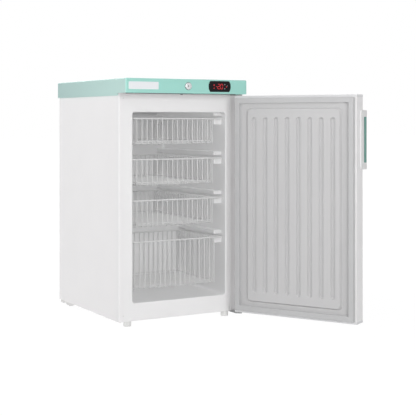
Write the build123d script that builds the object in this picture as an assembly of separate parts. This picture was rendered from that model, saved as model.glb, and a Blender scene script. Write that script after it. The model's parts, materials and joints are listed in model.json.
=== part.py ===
from build123d import *
import math
import os

# Under-counter freezer with wire baskets, in millimetres.
# X runs to the right, Y to the back and Z up. The floor is Z = 0, the cabinet's front face is Y = 0.

# Cabinet
total_height = 845.0
cabinet_width = 462.0
cabinet_depth = 537.0
foot_height = 18.0
steel = 0.8
plastic = 2.0
free_side_wall = 52.7
hinge_side_wall = 41.5
floor_wall = 60.0
header = 114.0
back_wall = 57.0
front_return = 20.0
bend_radius = 3.0
cavity_radius = 10.0
mouth_radius = 4.0

# Step over the compressor, and the drain recess in its face
step_rise = 234.0
step_run = 180.0
foam_behind_step = 52.0
drain_inset = 117.0
drain_width = 32.0
drain_rise = 49.5
drain_depth = 12.0

# Worktop lid and its fascia
lid_side_overhang = 6.5
lid_front_overhang = 68.0
fascia_height = 49.7
skirt_height = 57.8
lid_sheet = 1.5
core_thickness = 28.0
lid_radius = 4.0

# Fascia fittings, measured in from the lid's ends and up from its lower front edge
controller_inset = 112.9
controller_width = 88.6
controller_height = 38.0
controller_rise = 25.7
controller_depth = 48.0
bezel_proud = 3.0
badge_inset = 10.5
badge_width = 112.0
badge_height = 25.5
badge_rise = 25.2
lock_rise = 25.1
lock_radius = 8.0
lock_ring_radius = 11.9
cam_reach = 28.0
cam_tip_radius = 8.1
cam_thickness = 3.0
cam_lean = 38.0

# Wire baskets and the moulded runners that carry them
basket_count = 4
rim_drop = 22.0
low_basket_height = 163.0
low_basket_clearance = 42.9
basket_spacing = 50.7
free_side_margin = 20.7
hinge_side_margin = 48.8
low_basket_extra = 7.8
rim_margin = 3.5
basket_front = 9.5
basket_back_gap = 12.5
low_basket_back_gap = 3.0
rim_wire = 5.0
wire = 3.0
wire_pitch = 19.9
basket_bend = 8.0
ledge_height = 18.5
running_gap = 0.2
free_side_ledge = 10.0
hinge_side_ledge = 31.0
runner_set_back = 30.0
groove_height = 13.5
keeper_height = 12.2
runner_radius = 5.0

# Door, drawn closed and then turned open about its hinge pins
door_side_overhang = 1.0
door_below = 6.0
door_top_gap = 5.8
door_thickness = 53.5
door_seat = 14.0
skin = 1.0
cap_height = 8.0
cap_lip = 0.5
door_radius = 4.0
gasket_inset = 6.0
gasket_width = 20.0
gasket_gap = 0.3
panel_rise = 10.0
panel_draft = 31.0
panel_inset = 52.0
panel_end_inset = 42.0
panel_radius = 16.0
groove_count = 8
groove_pitch = 42.6
groove_width = 17.4
groove_depth = 6.5
groove_draft = 30.0
groove_end_inset = 34.0
open_angle = 119.5
pivot_inset = 6.5
pivot_depth = 44.0
pin_radius = 3.0
running_clearance = 0.05

# Handle on the door's free edge
handle_length = 199.5
handle_drop = 52.0
arm_height = 22.5
handle_plate = 4.0
handle_set_back = 29.0
handle_reach = 27.5
grip_width = 24.0
grip_thickness = 11.0

# Machine space, feet and rollers
niche_side = 7.0
tray_thickness = 1.5
tray_drop = 12.0
compressor_offset = 70.0
compressor_width = 150.0
compressor_length = 116.0
compressor_height = 150.0
foot_radius = 13.5
foot_inset = 38.0
foot_set_back = 14.0
stud_radius = 4.0
stud_length = 20.0
roller_radius = 18.0
roller_width = 15.0
roller_set_back = 67.0
gland_inset = 63.0
drier_inset = 117.0
drier_length = 90.0
drier_rise = 60.0
terminal_rise = 40.0
terminal_height = 56.0
terminal_width = 60.0

# Tubes foamed into the walls: the cold coil round the cavity, the warm loops inside the outer sides
coil_set_back = 60.0
coil_rise = 60.0
coil_drop = 40.0
coil_depth = 9.0
loop_rise = 120.0
loop_drop = 60.0
loop_set_back = 70.0
loop_rear_gap = 30.0

# Places worked out from the sizes above
half_width = cabinet_width / 2
base = foot_height
lid_top = total_height
fascia_bottom = lid_top - fascia_height
skirt_bottom = lid_top - skirt_height
case_top = lid_top - lid_sheet - core_thickness
back = cabinet_depth
case_back = back - steel
cavity_left = free_side_wall - half_width
cavity_right = half_width - hinge_side_wall
opening_bottom = base + floor_wall
opening_top = total_height - header
cavity_back = back - back_wall
step_top = opening_bottom + step_rise
low_rim = opening_bottom + low_basket_clearance + low_basket_height
basket_pitch = (opening_top - rim_drop - low_rim) / (basket_count - 1)
basket_height = basket_pitch - basket_spacing
step_front = cavity_back - step_run
drain_x = half_width - drain_inset
niche_front = step_front + foam_behind_step
niche_top = step_top - foam_behind_step + plastic
niche_half = half_width - niche_side
seam = half_width - front_return
lid_half = half_width + lid_side_overhang
controller_offset = lid_half - controller_inset
badge_left = lid_half - badge_inset
lid_front = -lid_front_overhang
fascia_back = lid_front + lid_sheet
door_half = half_width + door_side_overhang
door_bottom = base + door_below
door_top = fascia_bottom - door_top_gap
door_inner = -door_seat
door_outer = -door_seat - door_thickness
slab_bottom = door_bottom + cap_height
slab_top = door_top - cap_height
handle_bottom = door_top - handle_drop - handle_length
pivot_x = door_half - pivot_inset
pivot_y = -pivot_depth
lock_z = fascia_bottom + lock_rise
tray_top = base - tray_drop + tray_thickness
roller_y = back - roller_set_back
root_two = math.sqrt(2)

made = {}


# Small helpers
def block(x, y, z):
    size = [high - low for low, high in (x, y, z)]
    middle = [(high + low) / 2 for low, high in (x, y, z)]
    return Pos(*middle) * Box(*size)


def both(reach):
    return (-reach, reach)


def rod(start, end, radius):
    first = Vector(*start)
    run = Vector(*end) - first
    return Solid.make_cylinder(radius, run.length, Plane(origin=first, z_dir=run))


def facing_back(y):
    return Plane(origin=(0, y, 0), x_dir=(-1, 0, 0), z_dir=(0, 1, 0))


def facing_front(y):
    return Plane(origin=(0, y, 0), x_dir=(1, 0, 0), z_dir=(0, -1, 0))


def facing_right(x):
    return Plane(origin=(x, 0, 0), x_dir=(0, 1, 0), z_dir=(1, 0, 0))


def outline(points):
    return make_face(Polyline(*points, close=True))


def side_profile(points, x):
    # A profile of (y, z) points, carried from one x to another
    return extrude(facing_right(x[0]) * outline(points), x[1] - x[0])


def plan_profile(points, z):
    # A profile of (x, y) points, carried from one z to another
    return extrude(Pos(0, 0, z[0]) * outline(points), z[1] - z[0])


def mirrored(shape):
    return mirror(shape, Plane.YZ)


def hex_tube(points, radius):
    path = Polyline(*points)
    start = Vector(*points[0])
    section = Plane(origin=start, z_dir=Vector(*points[1]) - start) * RegularPolygon(radius, 6)
    return sweep(section, path=path, transition=Transition.RIGHT)


def hex_head(centre, direction, radius, height):
    plane = Plane(origin=centre, z_dir=direction)
    head = extrude(plane * RegularPolygon(radius, 6), height)
    return chamfer(head.faces().sort_by(Axis(centre, direction))[-1].edges(), height / 5)


def spread(first, last, count):
    step = (last - first) / (count - 1)
    return [first + step * index for index in range(count)]


# Baskets: sizes by level, the top basket first
def rim_level(level):
    return opening_top - rim_drop - basket_pitch * level


def is_lowest(level):
    return level == basket_count - 1


def basket_bottom(level):
    height = low_basket_height if is_lowest(level) else basket_height
    return rim_level(level) - height


def basket_half(level):
    extra = low_basket_extra if is_lowest(level) else 0
    return (cavity_right - cavity_left - hinge_side_margin - free_side_margin) / 2 + extra


def basket_middle():
    # The baskets sit off centre, so that they clear the open door's edge when they slide out
    return (cavity_left + free_side_margin + cavity_right - hinge_side_margin) / 2


def basket_back(level):
    if is_lowest(level):
        return step_front - low_basket_back_gap
    return cavity_back - basket_back_gap


def rim_span():
    return (cavity_left + rim_margin, cavity_right - rim_margin)


# The moulded cavity: the room itself at grow = 0, its outer skin at grow = wall thickness
# Only the room has round corners. Behind them the skin is square, where the foam slabs meet
def runner(low, high, grow):
    along, z = (runner_set_back + grow, back), (low + grow, high - grow)
    left = block((-half_width, cavity_left + free_side_ledge - grow), along, z)
    right = block((cavity_right - hinge_side_ledge + grow, half_width), along, z)
    left = fillet(left.edges().filter_by(Axis.Z).sort_by(Axis.Y)[:2].sort_by(Axis.X)[-1], runner_radius)
    right = fillet(right.edges().filter_by(Axis.Z).sort_by(Axis.Y)[:2].sort_by(Axis.X)[0], runner_radius)
    return left + right


def runners(grow):
    bars = []
    for level in range(basket_count):
        ledge_top = rim_level(level) - rim_wire / 2 - running_gap
        bars.append(runner(ledge_top - ledge_height, ledge_top, grow))
        keeper_low = ledge_top + groove_height
        keeper_high = keeper_low + keeper_height if level else opening_top + back_wall
        bars.append(runner(keeper_low, keeper_high, grow))
    return bars


def drain_recess(grow):
    radius = drain_width / 2 + grow
    centre = Pos(drain_x, step_front - 1, opening_bottom + drain_rise - drain_width / 2)
    arch = centre * Rot(-90, 0, 0) * Cylinder(radius, 2 * (drain_depth + grow + 1))
    foot = block(
        (drain_x - radius, drain_x + radius),
        (step_front - 1, step_front + drain_depth + grow),
        (opening_bottom - grow, opening_bottom + drain_rise - drain_width / 2),
    )
    behind = block((0, half_width), (step_front - 1, step_front + drain_depth + grow), (0, total_height))
    return (arch & behind) + foot


def cavity(grow):
    room = block(
        (cavity_left - grow, cavity_right + grow),
        (-plastic, cavity_back + grow),
        (opening_bottom - grow, opening_top + grow),
    )
    if grow == 0:
        room = fillet(room.edges() - room.faces().sort_by(Axis.Y)[0].edges(), cavity_radius)
    step = block(both(half_width), (step_front + grow, back), (0, step_top - grow))
    step = fillet(step.edges().filter_by(Axis.X).sort_by(Axis.Y)[:2].sort_by(Axis.Z)[-1], cavity_radius)
    room = room - step - runners(grow)
    return room + drain_recess(grow)


# Cabinet shell
def outer_case():
    shell = block(both(half_width), (0, case_back), (base, case_top))
    shell = fillet(shell.edges().filter_by(Axis.Z).sort_by(Axis.Y)[:2], bend_radius)
    inside = block(both(half_width - steel), (steel, back + 1), (base - 1, case_top - steel))
    inside = fillet(inside.edges().filter_by(Axis.Z).sort_by(Axis.Y)[:2], bend_radius - steel)
    window = block(both(seam), (-1, steel + 1), (0, fascia_bottom))
    plug_holes = [rod((x, -1, z), (x, steel + 1, z), 2.5) for x, z in plug_places()]
    return shell - inside - window - plug_holes


def back_panel():
    sheet = block(both(half_width), (case_back, back), (niche_top, case_top))
    return chamfer(sheet.edges().filter_by(Axis.Y), 2)


def base_panel():
    floor = block(both(half_width - steel), (steel, niche_front), (base, base + steel))
    floor = fillet(floor.edges().filter_by(Axis.Z).sort_by(Axis.Y)[:2], bend_radius)
    upstand = block(both(seam), (0, steel), (base, door_bottom))
    stud_holes = [rod((x, foot_set_back, 0), (x, foot_set_back, base + 9), stud_radius + 0.2) for x in foot_places()]
    return floor + upstand - stud_holes


def liner_flange():
    return block(both(seam + 12), (steel, steel + plastic), (door_bottom - 3, fascia_bottom + 8))


def inner_liner():
    front = block((-half_width, half_width), (steel, back), (0, total_height))
    shell = liner_flange() + (cavity(plastic) & front) - cavity(0)
    mouth = shell.faces().sort_by(Axis.Y)[0].inner_wires().edges()
    return fillet(mouth, mouth_radius)


def insert_block(x):
    return block((x - 10, x + 10), (foot_set_back - 10, foot_set_back + 10), (base + steel, base + 22))


def niche_block(wall):
    return block(both(niche_half - wall), (niche_front + wall, back + 1), (base - 1, niche_top - wall))


def foam_slabs():
    # The foam is one mass, drawn as slabs and runner bars that meet face to face
    left, right = cavity_left - plastic, cavity_right + plastic
    rear, step_face = cavity_back + plastic, step_front + plastic
    low, high, step_level = opening_bottom - plastic, opening_top + plastic, step_top - plastic
    across, inner = both(half_width), (left, right)
    slabs = [
        block(across, (0, back), (high, case_top)),
        block(across, (0, niche_front), (base, low)),
        block(inner, (rear, back), (niche_top, high)),
        block(inner, (step_face, niche_front), (low, niche_top)),
        block(inner, (step_face, rear), (niche_top, step_level)),
    ]
    for wall in ((-half_width, left), (right, half_width)):
        slabs.append(block(wall, (0, niche_front), (low, high)))
        slabs.append(block(wall, (niche_front, back), (niche_top, high)))
    for strip in ((-half_width, -niche_half), (niche_half, half_width)):
        slabs.append(block(strip, (niche_front, back), (base, niche_top)))
    for bars in ((left, left + free_side_ledge), (right - hinge_side_ledge, right)):
        slabs.append(block(bars, (0, step_face), (low, step_level)))
        slabs.append(block(bars, (0, rear), (step_level, high)))
    return slabs


def insulation_foam():
    fill = block(both(half_width - steel), (steel, case_back), (base + steel, case_top - steel))
    fill = fillet(fill.edges().filter_by(Axis.Z).sort_by(Axis.Y)[:2], bend_radius - steel)
    inserts = [insert_block(x) for x in foot_places()]
    fill = fill - liner_flange() - cavity(plastic) - niche_block(0) - inserts
    pieces = [fill & slab for slab in foam_slabs()]
    return Compound([solid for piece in pieces for solid in piece.solids()])


def niche_panel():
    room = niche_block(0) & block(both(half_width), (0, case_back), (base, total_height))
    return room - niche_block(steel)


# Refrigeration, buried in the foam
def evaporator_coil():
    away = plastic + coil_depth
    ends = (cavity_left - away, cavity_right + away)
    near, rear = coil_set_back, cavity_back + away
    points = []
    for row, z in enumerate(spread(step_top + coil_rise, opening_top - coil_drop, 4)):
        first, last = ends if row % 2 == 0 else ends[::-1]
        points += [(first, near, z), (first, rear, z), (last, rear, z), (last, near, z)]
    return hex_tube(points, 4)


def condenser_loop():
    x = half_width - steel - 3
    low, high = base + loop_rise, case_top - loop_drop
    points = []
    for column, y in enumerate(spread(loop_set_back, niche_front - loop_rear_gap, 5)):
        ends = (low, high) if column % 2 == 0 else (high, low)
        points += [(x, y, ends[0]), (x, y, ends[1])]
    loop = hex_tube(points, 3)
    return loop + mirrored(loop)


# Worktop lid and fascia
def lid_cover():
    cover = block(both(lid_half), (lid_front, back), (skirt_bottom, lid_top))
    cover = fillet(cover.edges().filter_by(Axis.Z).sort_by(Axis.Y)[:2], lid_radius + 1)
    cover = fillet(cover.faces().sort_by(Axis.Z)[-1].edges(), lid_radius)
    door_notch = block(both(lid_half + 1), (lid_front - 1, 0), (0, fascia_bottom))
    inside = block(both(lid_half - lid_sheet), (fascia_back, back - lid_sheet), (0, lid_top - lid_sheet))
    inside = fillet(inside.edges().filter_by(Axis.Z).sort_by(Axis.Y)[:2], lid_radius + 1 - lid_sheet)
    over_back = block(both(lid_half - lid_sheet), (back / 2, back + 1), (0, case_top))
    lock_hole = rod((0, lid_front - 1, lock_z), (0, fascia_back + 1, lock_z), lock_radius + 2.1)
    window = controller_box(0.2, lid_front - 1, fascia_back + 1)
    return cover - door_notch - inside - over_back - lock_hole - window


def worktop_core():
    board = block(both(lid_half - lid_sheet), (steel, back - lid_sheet), (case_top, lid_top - lid_sheet))
    return chamfer(board.edges().filter_by(Axis.Z), 1)


def fascia_tray():
    low = fascia_bottom + 0.7
    right = lid_half - 49.5
    floor = block((lid_sheet - lid_half, right), (fascia_back + 1, 0), (low, low + 2))
    floor = fillet(floor.edges().filter_by(Axis.Z).sort_by(Axis.Y)[:2].sort_by(Axis.X)[0], lid_radius)
    floor += block((12 - lid_half, right), (fascia_back, fascia_back + 1.5), (low, low + 7))
    slot = block(
        (-cam_reach - 24, cam_tip_radius + 2),
        (cam_back() - cam_thickness - 4, cam_back() + 4),
        (low - 1, low + 3),
    )
    slot = fillet(slot.edges().filter_by(Axis.Z), 5)
    return floor - slot


def badge_plate():
    middle_x = badge_width / 2 - badge_left
    middle_z = fascia_bottom + badge_rise
    face = Pos(middle_x, middle_z) * RectangleRounded(badge_width, badge_height, 2.5)
    plate = extrude(facing_front(lid_front) * face, 1)
    return chamfer(plate.faces().sort_by(Axis.Y)[0].edges(), 0.3)


def controller_face(margin):
    wide = controller_width / 2 - margin
    tall = controller_height / 2 - margin
    straight = wide - 6.5
    top = Line((-straight, tall), (straight, tall))
    right = ThreePointArc((straight, tall), (wide, 0), (straight, -tall))
    bottom = Line((straight, -tall), (-straight, -tall))
    left = ThreePointArc((-straight, -tall), (-wide, 0), (-straight, tall))
    face = make_face([top, right, bottom, left])
    face = fillet(face.vertices(), 2.5)
    return Pos(controller_offset, fascia_bottom + controller_rise) * face


def controller_bezel():
    bezel = extrude(facing_front(lid_front) * controller_face(0), bezel_proud)
    bezel = fillet(bezel.faces().sort_by(Axis.Y)[0].edges(), 1)
    pocket = extrude(facing_front(lid_front - bezel_proud + 1.2) * controller_face(4), 3)
    return bezel - pocket


def controller_window():
    return extrude(facing_front(lid_front - bezel_proud + 1.2) * controller_face(4), 1)


def segment(x, z, wide, tall, lean):
    bar = Pos(x + lean * z, z) * RectangleRounded(wide, tall, min(wide, tall) * 0.45)
    return Pos(controller_offset, fascia_bottom + controller_rise) * bar


def display_segments():
    # A minus sign, a two and a nought, with the two small status lamps on the left
    wide, tall, thick, lean = 8.6, 8.2, 1.8, 0.06
    two, nought = -4.6, 7.0
    bars = [segment(-13.6, 0, 4.6, thick, lean)]
    for digit in (two, nought):
        for z in (tall, -tall):
            bars.append(segment(digit, z, wide, thick, lean))
    bars.append(segment(two, 0, wide, thick, lean))
    side = wide / 2
    upright = tall - thick
    places = [(two + side, tall / 2), (two - side, -tall / 2)]
    for x in (nought - side, nought + side):
        for z in (tall / 2, -tall / 2):
            places.append((x, z))
    for x, z in places:
        bars.append(segment(x, z, thick, upright, lean))
    bars.append(segment(-23.7, 4.6, 3.0, 6.4, 0))
    bars.append(segment(-23.7, -6.2, 3.4, 3.4, 0))
    bars.append(segment(26.5, -0.8, 3.4, 4.4, 0))
    plane = facing_front(lid_front - bezel_proud + 0.2)
    return Compound([extrude(plane * bar, 0.2) for bar in bars])


def key_marks():
    plane = facing_front(lid_front - bezel_proud + 0.2)
    middle = Pos(controller_offset, fascia_bottom + controller_rise)
    marks = []
    for z, turn in ((6.6, 90), (-7.4, -90)):
        mark = middle * Pos(19.9, z) * Rot(0, 0, turn) * RegularPolygon(2.6, 3)
        marks.append(extrude(plane * mark, 0.2))
    marks.append(extrude(plane * segment(30.2, 2.4, 2.4, 2.4, 0), 0.2))
    return Compound(marks)


def controller_box(margin, front, rear):
    middle_z = fascia_bottom + controller_rise
    return block(
        (controller_offset - 36.5 - margin, controller_offset + 36.5 + margin),
        (front, rear),
        (middle_z - 15 - margin, middle_z + 15 + margin),
    )


def controller_body():
    body = controller_box(0, lid_front, lid_front + controller_depth)
    body = fillet(body.edges().filter_by(Axis.Y), 1.5)
    middle_z = fascia_bottom + controller_rise
    rear = lid_front + controller_depth
    plug_row = block(
        (controller_offset - 30, controller_offset + 30), (rear, rear + 12), (middle_z - 12, middle_z)
    )
    return body + plug_row


# Lock: the fixed housing, and the plug that turns the cam
def cam_back():
    return lid_front + 15 + cam_thickness + 0.2


def lock_housing():
    ring = rod((0, lid_front - 3.5, lock_z), (0, lid_front, lock_z), lock_ring_radius)
    ring = fillet(ring.edges().sort_by(Axis.Y)[0], 1.4)
    sleeve = rod((0, lid_front, lock_z), (0, lid_front + 15, lock_z), lock_radius + 2)
    bore = rod((0, lid_front - 9, lock_z), (0, lid_front + 20, lock_z), lock_radius + running_clearance)
    return ring + sleeve - bore


def lock_nut():
    nut = hex_head((0, fascia_back, lock_z), (0, 1, 0), 14, 4)
    return nut - rod((0, fascia_back - 1, lock_z), (0, fascia_back + 9, lock_z), lock_radius + 2.1)


def turned_by_lean(shape):
    return Pos(0, 0, lock_z) * Rot(0, cam_lean, 0) * Pos(0, 0, -lock_z) * shape


def cam_square(margin):
    half = 3.5 + margin
    return block(both(half), (lid_front + 15, cam_back() + 5), (lock_z - half, lock_z + half))


def lock_plug():
    barrel = rod((0, lid_front - 3.2, lock_z), (0, lid_front + 15, lock_z), lock_radius)
    barrel = chamfer(barrel.edges().sort_by(Axis.Y)[0], 0.5)
    keyhole = block(both(0.9), (lid_front - 4, lid_front - 0.2), (lock_z - 4, lock_z + 4))
    tail_nut = hex_head((0, cam_back(), lock_z), (0, 1, 0), 6.5, 3)
    return barrel - keyhole + turned_by_lean(cam_square(0)) + tail_nut


def lock_cam():
    hub = Circle(9)
    tip = Pos(0, -cam_reach) * Circle(cam_tip_radius)
    arm = Pos(0, -cam_reach / 2) * Rectangle(2 * cam_tip_radius, cam_reach)
    blank = facing_front(cam_back()) * Pos(0, lock_z) * (hub + tip + arm)
    return turned_by_lean(extrude(blank, cam_thickness) - cam_square(0))


# Hinges
def hinge_plate(y_back, z):
    left = door_half - 24.0
    right = half_width - 0.5
    pad = block((left, right), (pivot_y, y_back), z)
    nose = Pos(pivot_x - 2, pivot_y, (z[0] + z[1]) / 2) * Cylinder(7.5, z[1] - z[0])
    pad = fillet(pad.edges().filter_by(Axis.Z).sort_by(Axis.Y)[:1], 6)
    return pad + nose


def top_hinge_bracket():
    low = fascia_bottom - 4.1
    plate = hinge_plate(0, (low, low + 3))
    leg = block((door_half - 24, half_width - 0.5), (-3, 0), (low + 3, fascia_bottom + 18))
    leg = fillet(leg.edges().filter_by(Axis.Y).sort_by(Axis.Z)[-2:], 4)
    pin = rod((pivot_x, pivot_y, low + 1), (pivot_x, pivot_y, slab_top - 12), pin_radius)
    return plate + leg + pin


def bottom_hinge_bracket():
    plate = hinge_plate(foot_set_back + 25, (base - 3, base))
    pin = rod((pivot_x, pivot_y, base - 1), (pivot_x, pivot_y, slab_bottom + 12), pin_radius)
    return plate + pin


def cabinet_screws():
    heads = []
    for x in (door_half - 18, half_width - 7):
        heads.append(hex_head((x, -3, fascia_bottom + 10), (0, -1, 0), 3.6, 2.4))
    for y in (14, foot_set_back + 17):
        heads.append(hex_head((door_half - 12, y, base - 3), (0, 0, -1), 3.6, 2.4))
    for z in (niche_top + 9, case_top - 40):
        for x in spread(12 - half_width, half_width - 12, 4):
            heads.append(hex_head((x, back, z), (0, 1, 0), 3.4, 1.8))
    return Compound(heads)


def plug_places():
    x = -seam - 3.2
    return [(x, base + 20), (x, fascia_bottom - 17)]


def hinge_hole_plugs():
    plugs = [rod((x, -0.2, z), (x, steel, z), 2.5) for x, z in plug_places()]
    plugs.append(rod((7 - half_width, 6, base - 2.6), (7 - half_width, 6, base), 4))
    return Compound(plugs)


# Machine space
def compressor_tray():
    low, top = base - tray_drop, tray_top
    points = [
        (niche_front - 20, base - tray_thickness), (niche_front - 2, base - tray_thickness),
        (niche_front + 14, low), (back, low), (back, base + 12), (back - tray_thickness, base + 12),
        (back - tray_thickness, top), (niche_front + 14.6, top), (niche_front - 1.4, base),
        (niche_front - 20, base),
    ]
    reach = niche_half - steel - roller_width - 8.2
    return side_profile(points, both(reach))


def compressor_centre():
    return (compressor_offset, (niche_front + back) / 2 + 2)


def mount_places():
    x, y = compressor_centre()
    reach_x, reach_y = compressor_width / 2 - 12, compressor_length / 2 + 6
    return [(x + i * reach_x, y + j * reach_y) for i in (-1, 1) for j in (-1, 1)]


def compressor():
    x, y = compressor_centre()
    low = tray_top + 12
    can = Pos(x, y, low + 5) * extrude(Ellipse(compressor_width / 2, compressor_length / 2), compressor_height)
    can = fillet(can.edges().group_by(Axis.Z)[-1], 26)
    can = fillet(can.edges().group_by(Axis.Z)[0], 10)
    seam_ring = Ellipse(compressor_width / 2 + 3, compressor_length / 2 + 3)
    can += Pos(x, y, low + compressor_height * 0.55) * extrude(seam_ring, 4)
    plate = RectangleRounded(compressor_width, compressor_length + 32, 14)
    return can + Pos(x, y, low) * extrude(plate, 3) + Pos(x, y, low + 3) * Cylinder(30, 12)


def compressor_grommets():
    pads = []
    for x, y in mount_places():
        pad = Pos(x, y, tray_top + 6) * Cylinder(9, 12)
        groove = Pos(x, y, tray_top + 6) * (Cylinder(10, 3) - Cylinder(7, 3))
        pads.append(pad - groove)
    return Compound(pads)


def terminal_box():
    x, y = compressor_centre()
    left = x - compressor_width / 2
    low = tray_top + terminal_rise
    side = terminal_width / 2
    box = block((left - 28, left + 12), (y - side, y + side), (low, low + terminal_height))
    box = fillet(box.edges().sort_by(Axis.X)[:4], 3)
    return box - compressor()


def filter_drier():
    x, y = drier_inset - half_width, case_back - 26
    low = tray_top + drier_rise
    high = low + drier_length
    body = rod((x, y, low), (x, y, high), 9)
    body = chamfer(body.edges().group_by(Axis.Z)[0] + body.edges().group_by(Axis.Z)[-1], 6)
    stubs = rod((x, y, low - 12), (x, y, low + 1), 3) + rod((x, y, high - 1), (x, y, high + 12), 3)
    return body + stubs


def refrigerant_pipes():
    x, y = drier_inset - half_width, case_back - 26
    low = tray_top + drier_rise - 12
    high = low + drier_length + 24
    cx, cy = compressor_centre()
    top = tray_top + compressor_height * 0.5
    right = cx + compressor_width / 2
    up = niche_top - steel
    feed = hex_tube([(x, y, low), (x, y, low - 14), (x - 40, y, low - 14), (x - 40, y, up)], 3)
    thin = hex_tube([(x, y, high), (x, y, high + 16), (x + 30, y, high + 16), (x + 30, y, up)], 1.4)
    suction = hex_tube([(right - 2, cy, top), (right + 24, cy, top), (right + 24, cy, up)], 4)
    return Compound([feed, thin, suction - compressor()])


def cable_gland():
    x, z = gland_inset - half_width, base
    body = rod((x, back, z), (x, back + 13, z), 7)
    nut = hex_head((x, back, z), (0, 1, 0), 10, 6)
    return body + nut - rod((x, back + 3, z), (x, back + 14, z), 3.6)


def drain_plug():
    z = opening_bottom + drain_rise - drain_width / 2 - 4
    y = step_front + drain_depth
    disc = rod((drain_x, y - 4, z), (drain_x, y, z), 10)
    disc = chamfer(disc.edges().sort_by(Axis.Y)[0], 1)
    grip = block((drain_x - 7, drain_x + 7), (y - 8, y - 4), (z - 1.5, z + 1.5))
    return disc + grip


# Feet and rollers
def foot_places():
    return both(half_width - foot_inset)


def foot_insert_pair():
    blocks = []
    for x in foot_places():
        bore = rod((x, foot_set_back, base - 1), (x, foot_set_back, base + 23), stud_radius + running_clearance)
        blocks.append(insert_block(x) - bore)
    return Compound(blocks)


def front_foot(x):
    pad = Pos(x, foot_set_back, (base - 0.1) / 2) * Cylinder(foot_radius, base - 0.1)
    pad = fillet(pad.edges().group_by(Axis.Z)[0], 1.6)
    stud = rod((x, foot_set_back, base - 1), (x, foot_set_back, base + stud_length), stud_radius)
    return pad + chamfer(stud.edges().group_by(Axis.Z)[-1], 0.8)


def roller_span():
    right = niche_half - steel - 4.2
    return (right - roller_width, right)


def roller_brackets():
    near, far = roller_span()
    low = base - 14
    points = [
        (niche_front + 39, base), (niche_front + 80, base - 10), (roller_y - 15, low),
        (roller_y + 15, low), (roller_y + 35, base - 6), (back - 26, base - 6), (back - 26, base - 13),
        (back + 4, base - 13), (back + 4, base), (back - 8, base + 20), (niche_front + 50, base + 20),
    ]
    inner = side_profile(points, (near - 4, near - 2))
    outer = side_profile(points, (far + 2.2, far + 4.2))
    bridge = block((near - 4, far + 4.2), (niche_front + 50, back - 8), (base + 20, base + 22))
    bracket = inner + outer + bridge
    bracket -= rod((near - 9, roller_y, roller_radius), (far + 9, roller_y, roller_radius), pin_radius)
    return Compound([bracket, mirrored(bracket)])


def roller_axles():
    near, far = roller_span()
    axle = rod((near - 4, roller_y, roller_radius), (far + 4.2, roller_y, roller_radius), pin_radius)
    return Compound([axle, mirrored(axle)])


def rear_roller():
    near, far = roller_span()
    wheel = rod((near, roller_y, roller_radius), (far, roller_y, roller_radius), roller_radius)
    wheel = fillet(wheel.edges().filter_by(GeomType.CIRCLE), 1.5)
    bore = rod((near - 1, roller_y, roller_radius), (far + 1, roller_y, roller_radius),
               pin_radius + running_clearance)
    return wheel - bore


# Baskets
def side_stations(level):
    first, last = basket_front + rim_wire + 6, basket_back(level) - rim_wire - 6
    return spread(first, last, round((last - first) / wire_pitch) + 1)


def front_stations(level):
    half = basket_half(level)
    return spread(-half, half, round(2 * half / wire_pitch) + 1)


def basket_rim(level):
    z = (rim_level(level) - rim_wire / 2, rim_level(level) + rim_wire / 2)
    thin = (rim_level(level) - wire / 2, rim_level(level) + wire / 2)
    span, rear = rim_span(), basket_back(level)
    front = block(span, (basket_front, basket_front + rim_wire), z)
    front = fillet(front.edges().filter_by(Axis.Z).sort_by(Axis.Y)[:2], 4)
    tail = block(span, (rear - rim_wire, rear), z)
    tail = fillet(tail.edges().filter_by(Axis.Z).sort_by(Axis.Y)[-2:], 4)
    pieces = [front, tail]
    reach = basket_half(level) - wire / 2
    left, right = span[0] + rim_wire, span[1] - rim_wire
    for bar, wing in (
        ((span[0], left), (left, basket_middle() - reach)),
        ((right, span[1]), (basket_middle() + reach, right)),
    ):
        side = block(bar, (basket_front + rim_wire, rear - rim_wire), z)
        wings = [block(wing, (y - wire / 2, y + wire / 2), thin) for y in side_stations(level)]
        pieces.append(side + wings)
    return Compound(pieces)


def end_grille(level, y, away):
    # The front or rear wall: upright wires with their feet bent under, tied by one cross wire
    low, top = basket_bottom(level), rim_level(level) - rim_wire / 2
    ease = wire * (root_two - 1)
    points = [
        (0, top), (0, low + basket_bend), (basket_bend, low), (basket_bend + ease, low),
        (basket_bend + ease, low + wire), (wire, low + basket_bend + ease), (wire, top),
    ]
    points = [(y + away * across, up) for across, up in points]
    uprights = [side_profile(points, (x - wire / 2, x + wire / 2)) for x in front_stations(level)]
    inner = sorted((y + away * wire, y + away * 2 * wire))
    tie = low + basket_bend + 3
    half = basket_half(level) + wire / 2
    return block(both(half), inner, (tie, tie + wire)) + uprights


def side_grille(level):
    low, top = basket_bottom(level) + wire, rim_level(level) - wire / 2
    inner, outer = basket_half(level) - wire / 2, basket_half(level) + wire / 2
    stations = side_stations(level)
    uprights = [block((inner, outer), (y - wire / 2, y + wire / 2), (low, top)) for y in stations]
    tie = basket_bottom(level) + basket_bend + 3
    tie_bar = block((inner - wire, inner), (stations[0] - 2, stations[-1] + 2), (tie, tie + wire))
    return tie_bar + uprights


def basket_floor(level):
    inset = basket_bend + wire * (root_two - 1)
    near = basket_front + (rim_wire - wire) / 2 + inset
    far = basket_back(level) - (rim_wire - wire) / 2 - inset
    low = basket_bottom(level)
    half = basket_half(level) - wire
    runs = [block((x - wire / 2, x + wire / 2), (near, far), (low, low + wire)) for x in front_stations(level)]
    ties = [block(both(half + wire), (y, y + wire), (low, low + wire)) for y in (near, far - wire)]
    cross = [
        block(both(half), (y - wire / 2, y + wire / 2), (low + wire, low + 2 * wire))
        for y in spread(near, far, 5)[1:-1]
    ]
    return ties[0] + runs + ties[1], cross


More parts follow.
